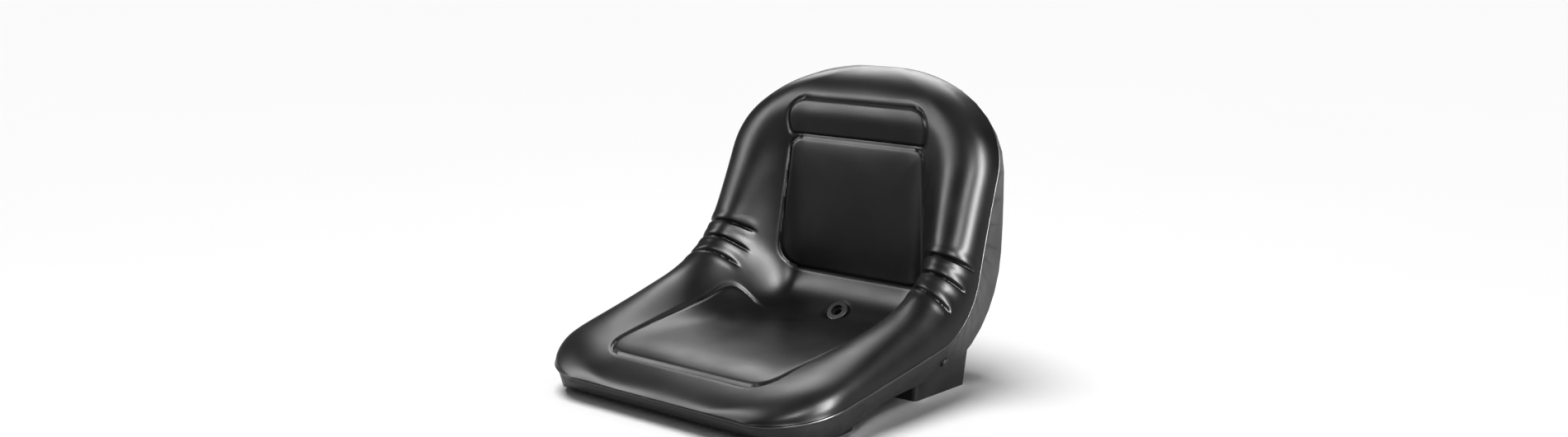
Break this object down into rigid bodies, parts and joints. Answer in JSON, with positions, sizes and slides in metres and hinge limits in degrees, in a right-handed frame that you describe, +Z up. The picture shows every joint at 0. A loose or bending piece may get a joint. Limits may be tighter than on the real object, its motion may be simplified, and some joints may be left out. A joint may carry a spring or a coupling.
{
  "type": "tractor seat",
  "caption": "Bucket seat for a garden tractor: a black vinyl cushion with rolled bolsters on a moulded plastic pan with threaded inserts, a switch hole and a drain.",
  "frame": {"origin": "centre of the main bolt pattern, on the plane of the plinth's underside", "axes": "+Z up, the seat faces -Y, +X to the right when facing the seat"},
  "size_m": [0.4518, 0.4778, 0.3925],
  "materials": {
    "vinyl": "semi-gloss moulded vinyl skin on foam",
    "pan_plastic": "satin moulded polypropylene",
    "bush_plastic": "satin moulded plastic",
    "insert_metal": "turned and plated",
    "clip_plastic": "moulded nylon"
  },
  "bodies": {
    "root": {"seat_cushion": "vinyl", "seat_pan": "pan_plastic", "drain_bush": "bush_plastic", "threaded_inserts": "insert_metal", "cushion_clips": "clip_plastic"}
  },
  "joints": []
}
